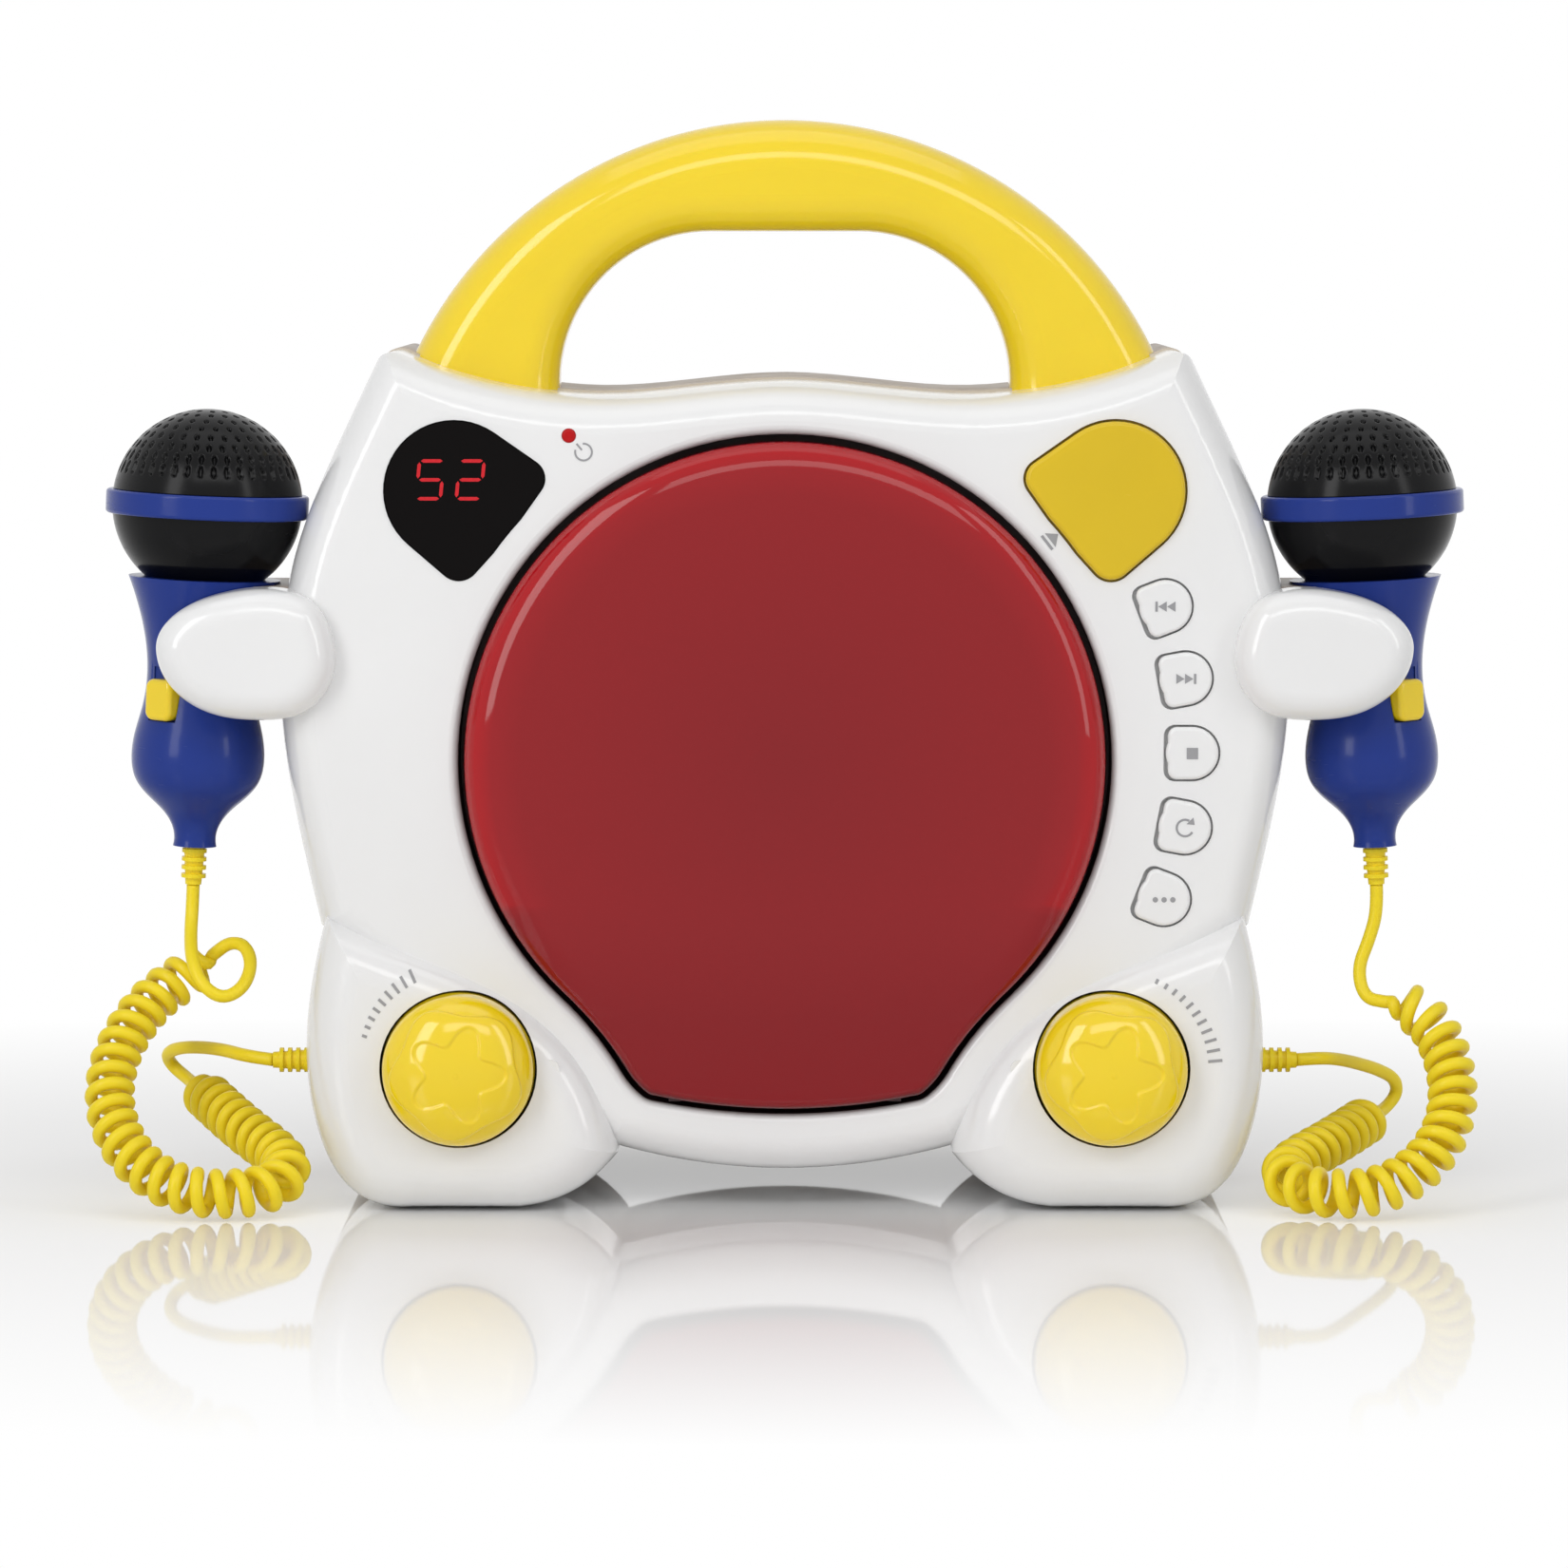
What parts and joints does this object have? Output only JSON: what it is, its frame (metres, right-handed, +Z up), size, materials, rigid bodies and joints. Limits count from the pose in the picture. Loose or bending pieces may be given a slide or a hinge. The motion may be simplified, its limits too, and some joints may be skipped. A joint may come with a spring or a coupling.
{
  "type": "karaoke disc player",
  "caption": "Upright portable karaoke disc player with a hinged round cover, bow handle, control keys and dials, and microphones held at its sides on curly cords.",
  "frame": {"origin": "on the ground, under the middle of the machine between its front-most and rear-most faces", "axes": "+X is the machine's width, towards the right as one faces its front; +Y points to its back; +Z is up"},
  "size_m": [0.3359, 0.1299, 0.2627],
  "materials": {
    "shell_white": "fine satin",
    "frame_taupe": "fine satin",
    "cover_red": "tinted gloss",
    "bright_yellow": "gloss",
    "button_yellow": "gloss",
    "well_dark": "matt",
    "display_dark": "gloss",
    "lamp_clear": "clear gloss",
    "steel": "bright",
    "board_green": "satin",
    "module_white": "matt",
    "carriage_black": "matt",
    "lens_glass": "polished",
    "gear_white": "satin",
    "speaker_black": "matt",
    "jack_black": "matt",
    "pad_grey": "matt",
    "microphone_black": "satin",
    "microphone_blue": "satin gloss",
    "capsule_metal": "satin",
    "cord_yellow": "soft satin"
  },
  "bodies": {
    "machine": {"front_shell": "shell_white", "mid_frame": "frame_taupe", "rear_shell": "frame_taupe", "case_screws": "steel", "rubber_feet": "pad_grey", "carry_handle": "bright_yellow", "left_hand": "shell_white", "right_hand": "shell_white", "disc_well": "well_dark", "lid_hinge_pin": "steel", "mechanism_chassis": "steel", "sled_rails": "steel", "sled_motor": "steel", "spindle_motor": "steel", "key_board": "board_green", "display_window": "display_dark", "display_board": "module_white", "power_led": "lamp_clear", "knob_pots": "board_green", "main_board": "board_green", "speaker": "speaker_black", "power_jack": "jack_black", "cord_reliefs": "cord_yellow", "left_cord_tail": "cord_yellow", "left_cord_curls": "cord_yellow", "left_cord_lead": "cord_yellow", "right_cord_tail": "cord_yellow", "right_cord_curls": "cord_yellow", "right_cord_lead": "cord_yellow"},
    "cover": {"lid": "cover_red"},
    "cover_button": {"open_button": "button_yellow"},
    "back_key": {"key_back": "shell_white"},
    "forward_key": {"key_forward": "shell_white"},
    "stop_key": {"key_stop": "shell_white"},
    "repeat_key": {"key_repeat": "shell_white"},
    "mode_key": {"key_mode": "shell_white"},
    "left_dial": {"left_knob": "bright_yellow", "left_knob_shaft": "steel"},
    "right_dial": {"right_knob": "bright_yellow", "right_knob_shaft": "steel"},
    "spindle": {"spindle_hub": "carriage_black"},
    "pickup": {"laser_sled": "carriage_black", "objective_lens": "lens_glass"},
    "pickup_wheel": {"sled_gear": "gear_white"},
    "left_microphone": {"left_mic_grille": "microphone_black", "left_mic_ring": "microphone_blue", "left_mic_bowl": "microphone_black", "left_mic_capsule": "capsule_metal", "left_mic_grip": "microphone_blue", "left_mic_relief": "cord_yellow"},
    "right_microphone": {"right_mic_grille": "microphone_black", "right_mic_ring": "microphone_blue", "right_mic_bowl": "microphone_black", "right_mic_capsule": "capsule_metal", "right_mic_grip": "microphone_blue", "right_mic_relief": "cord_yellow"},
    "left_microphone_switch": {"left_mic_switch": "bright_yellow"},
    "right_microphone_switch": {"right_mic_switch": "bright_yellow"},
    "battery_cover": {"battery_door": "frame_taupe"}
  },
  "joints": [
    {"name": "cover_hinge", "type": "hinge", "parent": "machine", "child": "cover", "pos_m": [0, -0.0437, 0.029], "axis": [1, 0, 0], "range_deg": [0, 45]},
    {"name": "cover_button_press", "type": "slide", "parent": "machine", "child": "cover_button", "axis": [0, 1, 0], "range_m": [0, 0.002], "stiffness_N_per_m": 700, "springref_m": -0.001},
    {"name": "back_key_press", "type": "slide", "parent": "machine", "child": "back_key", "axis": [0, 1, 0], "range_m": [0, 0.0012], "stiffness_N_per_m": 500, "springref_m": -0.001},
    {"name": "forward_key_press", "type": "slide", "parent": "machine", "child": "forward_key", "axis": [0, 1, 0], "range_m": [0, 0.0012], "stiffness_N_per_m": 500, "springref_m": -0.001},
    {"name": "stop_key_press", "type": "slide", "parent": "machine", "child": "stop_key", "axis": [0, 1, 0], "range_m": [0, 0.0012], "stiffness_N_per_m": 500, "springref_m": -0.001},
    {"name": "repeat_key_press", "type": "slide", "parent": "machine", "child": "repeat_key", "axis": [0, 1, 0], "range_m": [0, 0.0012], "stiffness_N_per_m": 500, "springref_m": -0.001},
    {"name": "mode_key_press", "type": "slide", "parent": "machine", "child": "mode_key", "axis": [0, 1, 0], "range_m": [0, 0.0012], "stiffness_N_per_m": 500, "springref_m": -0.001},
    {"name": "left_dial_turn", "type": "hinge", "parent": "machine", "child": "left_dial", "pos_m": [-0.0783, -0.047, 0.0354], "axis": [0, 1, 0], "range_deg": [-150, 150]},
    {"name": "right_dial_turn", "type": "hinge", "parent": "machine", "child": "right_dial", "pos_m": [0.0783, -0.047, 0.0354], "axis": [0, 1, 0], "range_deg": [-150, 150]},
    {"name": "spindle_spin", "type": "hinge", "parent": "machine", "child": "spindle", "pos_m": [0, -0.0376, 0.1089], "axis": [0, 1, 0], "continuous": true},
    {"name": "pickup_travel", "type": "slide", "parent": "machine", "child": "pickup", "axis": [0, 0, -1], "range_m": [0, 0.034]},
    {"name": "pickup_wheel_turn", "type": "hinge", "parent": "machine", "child": "pickup_wheel", "pos_m": [-0.02935, -0.0248, 0.066], "axis": [0, 1, 0], "range_deg": [-5, 250]},
    {"name": "left_microphone_pull", "type": "slide", "parent": "machine", "child": "left_microphone", "axis": [-0.9989, 0, 0.0461], "range_m": [0, 0.026]},
    {"name": "left_microphone_switch_slide", "type": "slide", "parent": "left_microphone", "child": "left_microphone_switch", "axis": [0.0461, 0, 0.9989], "range_m": [0, 0.0025]},
    {"name": "right_microphone_pull", "type": "slide", "parent": "machine", "child": "right_microphone", "axis": [0.9989, 0, 0.0461], "range_m": [0, 0.026]},
    {"name": "right_microphone_switch_slide", "type": "slide", "parent": "right_microphone", "child": "right_microphone_switch", "axis": [-0.0461, 0, 0.9989], "range_m": [0, 0.0025]},
    {"name": "battery_cover_lift", "type": "slide", "parent": "machine", "child": "battery_cover", "axis": [0, 1, 0], "range_m": [0, 0.03]}
  ],
  "couplings": [
    {"joint": "pickup_wheel_turn", "follows": "pickup_travel", "rad_per_m": 125}
  ]
}
